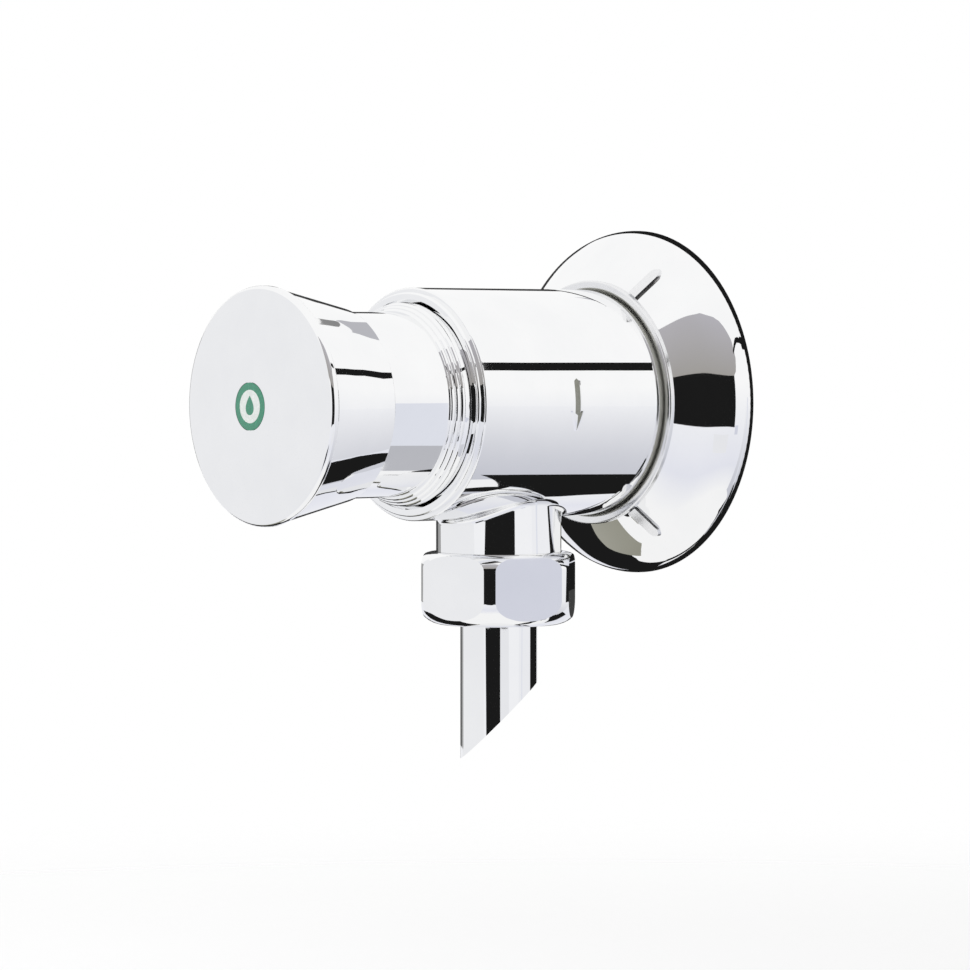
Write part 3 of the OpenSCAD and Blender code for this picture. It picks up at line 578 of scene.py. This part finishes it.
CAMERA_AT = Vector((0.55594, -0.50508, 0.01071))
CAMERA_AIM = Vector((-0.01770, -0.02186, -0.01561))
CAMERA_LINE = CAMERA_AT - CAMERA_AIM
CAMERA_AZIMUTH = math.atan2(CAMERA_LINE.y, CAMERA_LINE.x)
CARD_DISTANCE = 1.6
BACKING_DISTANCE = 1.65
WALL_DISTANCE = 1.7
BLACK = grey(0.011)


def card_material(name, low, high):
    """Even glow that goes from one colour at the card's foot to another at its top."""
    material = bpy.data.materials.new(name)
    material.use_nodes = True
    tree = material.node_tree
    tree.nodes.clear()
    colour = ramp(tree, generated_height(tree), (0, low), (1, high))
    glow = add(tree, "ShaderNodeEmission", {"Color": colour, "Strength": 1.0})
    add(tree, "ShaderNodeOutputMaterial", {"Surface": glow.outputs[0]})
    return material


def studio_card(name, verts, faces, low, high):
    """Card of the studio that only reflections see."""
    obj = in_scene(name, new_mesh(name, verts, faces, card_material(name, low, high)))
    for ray in ("camera", "diffuse", "shadow", "transmission", "volume_scatter"):
        setattr(obj, "visible_" + ray, False)


def direction(azimuth, elevation):
    """A direction by its angle to the right of the camera, seen from the object, and above the floor."""
    around, above = math.radians(azimuth) + CAMERA_AZIMUTH, math.radians(elevation)
    level = math.cos(above)
    return Vector((level * math.cos(around), level * math.sin(around), math.sin(above)))


def far_card(name, low, high, *stations, distance=CARD_DISTANCE, steps=12):
    """Card on a sphere around the tap, by stations: an azimuth with its lower and upper elevation."""
    verts = []
    for start, end in zip(stations, stations[1:]):
        for i in range(steps):
            azimuth, bottom, top = Vector(start).lerp(Vector(end), i / (steps - 1))
            for j in range(steps + 1):
                elevation = bottom + (top - bottom) * j / steps
                verts.append(direction(azimuth, elevation) * distance)
    rows = len(verts) // (steps + 1)
    studio_card(name, verts, grid_faces(rows, steps + 1, closed=False), low, high)


def near_card(name, colour, *rungs):
    """Strip near the tap by the two ends of its rungs, which only some of the surfaces catch."""
    verts = [Vector(end) * MM for rung in rungs for end in rung]
    studio_card(name, verts, grid_faces(len(rungs), 2, closed=False), colour, colour)


def upright_card(name, colour, start, end, top, foot):
    """Upright card between two places in plan."""
    near_card(name, colour, *(((*start, z), (*end, z)) for z in (top, foot)))


def level_card(name, colour, z, *stations):
    """Flat card at a height, by stations: a place along the body's axis with the right and left end there."""
    near_card(name, colour, *(((right, y, z), (left, y, z)) for y, right, left in stations))


def arc_card(name, colour, first, last, radius=248, steps=24):
    """Strip on an arc around the body's axis, between two rungs by the angle and the place along it."""
    rungs = []
    for i in range(steps + 1):
        ends = (Vector(start).lerp(Vector(end), i / steps) for start, end in zip(first, last))
        rungs.append([around_axis(radius, math.radians(angle), y) for angle, y in ends])
    near_card(name, colour, *rungs)


def wall_card(colour, inner=ROSE_R, outer=37.6, aside=-1.2, at=3, around=96):
    """Dark ring in the wall behind the rose, its outer edge set a little aside, which draws the outline."""
    verts = []
    for radius, shift in ((inner, 0), (outer, aside)):
        for j in range(around):
            point = Vector(around_axis(radius, 2 * math.pi * j / around, at))
            verts.append((point + Vector((shift, 0, 0))) * MM)
    studio_card("wall_card", verts, grid_faces(2, around), colour, colour)


far_card("front_flag", BLACK, BLACK, (-26, -12, 14), (28, -14.5, 15.5))
far_card("front_grey_card", (0.36, 0.345, 0.325), (0.48, 0.47, 0.505),
         (-44, 13, 38), (-38, 13.3, 41), (-20, 14, 47.5), (0, 14.5, 49.5), (8, 14.8, 50), (20, 15, 48.5),
         (28, 15.5, 45.5), (34, 18, 42), (40, 26, 37), distance=BACKING_DISTANCE)
far_card("side_strip", BLACK, BLACK, (36, 28.3, 30.3), (45, 31.3, 34), (52, 33, 35.8), (60, 33.8, 36.8),
         (70, 32.3, 35.8), (82, 28.9, 32.6))
near_card("body_strip", BLACK, ((193, 138, 158), (213, 138, 130)), ((170, 244, 156), (193, 243, 130)))
near_card("button_strip", BLACK, ((113, 174, 118), (125, 174, 101)), ((99, 197, 119), (116, 199, 98)))
near_card("button_card", (0.50, 0.50, 0.53),
          ((-93, 150, 175), (-137, 151, 152)), ((-41, 163, 182), (-28, 173, 179)))
near_card("button_small_card", grey(0.26),
          ((-75, 148, 181), (-88, 151, 176)), ((-44, 153, 185), (-53, 157, 183)))
neck_seam = ((-48.9, 115), (-50.5, 134))
arc_card("neck_card", (0.76, 0.78, 0.85), ((2.8, 114), (2.8, 133)), neck_seam)
arc_card("neck_low_card", (0.50, 0.505, 0.54), neck_seam, ((-85.8, 118), (-87.2, 135)))
upright_card("nut_card", (0.66, 0.675, 0.76), (160, -28), (163, -7), top=-35.5, foot=-50.5)
level_card("low_plate", BLACK, -200,
           (111, 67, -50), (140, 62, -50), (165, 57, -40), (200, 66, -28), (258, 78, -20))
far_card("low_right_flag", BLACK, BLACK, (86, -60, -40.5), (95, -60, -44), (105, -61, -49.5),
         (112, -62, -53), (120, -62, -56), (150, -62, -57), (180, -60, -52))
far_card("low_back_flag", BLACK, BLACK, (178, -58, -32), (195, -58, -28), (205, -57, -24), (213, -56, -18),
         (222, -56, -24), (229, -54, -34))
far_card("low_left_card", (0.29, 0.285, 0.235), (0.40, 0.395, 0.345),
         (229, -59, -32), (240, -59, -40), (250, -58, -47), (256, -57, -50))
upright_card("pipe_flag", BLACK, (31, -186), (71, -173), top=-51, foot=-85)
upright_card("pipe_card", (0.83, 0.835, 0.86), (125, -125), (154, -62), top=-51, foot=-85)
wall_card(BLACK)
far_card("right_back_flag", BLACK, BLACK, (109, -8, 8), (160, -8, 8))
far_card("back_flag", grey(0.05), grey(0.05), (168, -17, 17), (192, -17, 17))
far_card("left_back_card", grey(0.07), grey(0.07), (192, -8, 8), (212, -8, 8))
far_card("left_edge_card", grey(0.36), grey(0.36), (212, -8, 8), (227, -8, 8))
far_card("left_card", (0.85, 0.855, 0.875), (0.88, 0.885, 0.9), (-140, -40, 24), (-46, -40, 24),
         distance=WALL_DISTANCE)
far_card("right_card", (0.58, 0.59, 0.65), (0.90, 0.905, 0.93), (62, -51, -2), (118, -51, -2),
         distance=WALL_DISTANCE)


# World, floor, lamps and camera

def studio_world(lit_level=0.72):
    """White to the camera, and in reflections white above and pale below; softer for lit surfaces."""
    world = bpy.data.worlds.new("studio")
    world.use_nodes = True
    tree = world.node_tree
    tree.nodes.clear()
    rays = add(tree, "ShaderNodeLightPath").outputs
    share = math_node(tree, "MULTIPLY_ADD", generated_height(tree), 0.5, 0.5)
    sky = ramp(tree, share, (0.1, grey(0.95)), (0.2, (0.80, 0.81, 0.88)), (0.44, (0.90, 0.905, 0.93)),
               (0.6, grey(0.99)))
    white = (1, 1, 1, 1)
    seen = mix(tree, rays["Is Camera Ray"], sky, white)
    shown = add(tree, "ShaderNodeBackground", {"Color": seen, "Strength": 1.0})
    light = add(tree, "ShaderNodeBackground", {"Color": white, "Strength": lit_level})
    in_metal_or_glass = math_node(tree, "MAXIMUM", rays["Is Glossy Ray"], rays["Is Transmission Ray"])
    is_shown = math_node(tree, "MAXIMUM", rays["Is Camera Ray"], in_metal_or_glass)
    mixed = add(tree, "ShaderNodeMixShader", {0: is_shown, 1: light.outputs[0], 2: shown.outputs[0]})
    add(tree, "ShaderNodeOutputWorld", {"Surface": mixed.outputs[0]})
    bpy.context.scene.world = world


def studio_floor(height=-0.16, half=0.8, fade_from=0.3, fade_to=0.7):
    """Pale floor well under the tap that fades into the white. Reflections see the studio instead."""
    material, tree, shader = new_material("floor")
    vary(tree, shader, "Base Color", noise(tree, scale=3, detail=3), grey(0.95), grey(0.97))
    shader.inputs["Roughness"].default_value = 0.9
    shader.inputs["Specular IOR Level"].default_value = 0
    reach = vector_node(tree, "LENGTH", vector_node(tree, "MULTIPLY", object_place(tree), (1, 1, 0)))
    fade = {"Value": reach, "From Min": fade_from, "From Max": fade_to, "To Min": 1.0, "To Max": 0.0}
    shown = add(tree, "ShaderNodeMapRange", fade, interpolation_type="SMOOTHSTEP").outputs[0]
    tree.links.new(shown, shader.inputs["Alpha"])
    corners = [(-half, -half, height), (half, -half, height), (half, half, height), (-half, half, height)]
    floor = in_scene("floor", new_mesh("floor", corners, [(0, 1, 2, 3)], material))
    floor.visible_glossy = False


def soft_lamp(name, at, size, power):
    """Round lamp that points at the tap and that reflections don't see."""
    lamp = bpy.data.lights.new(name, "AREA")
    lamp.shape = "DISK"
    lamp.size = size
    lamp.energy = power
    obj = in_scene(name, lamp)
    obj.location = at
    obj.rotation_euler = (-Vector(at)).to_track_quat("-Z", "Y").to_euler()
    obj.visible_glossy = False


studio_world()
studio_floor()
soft_lamp("key_lamp", at=(0.5, -0.9, 1.3), size=0.9, power=9)
soft_lamp("fill_lamp", at=(-0.9, -0.6, 0.9), size=0.9, power=4)

camera = in_scene("camera", bpy.data.cameras.new("camera"))
camera.location = CAMERA_AT
camera.rotation_euler = (CAMERA_AIM - CAMERA_AT).to_track_quat("-Z", "Y").to_euler()
camera.data.sensor_width = 36
camera.data.lens = 148.45
camera.data.clip_start = 0.01
bpy.context.scene.camera = camera
bpy.context.scene.view_settings.view_transform = "Standard"
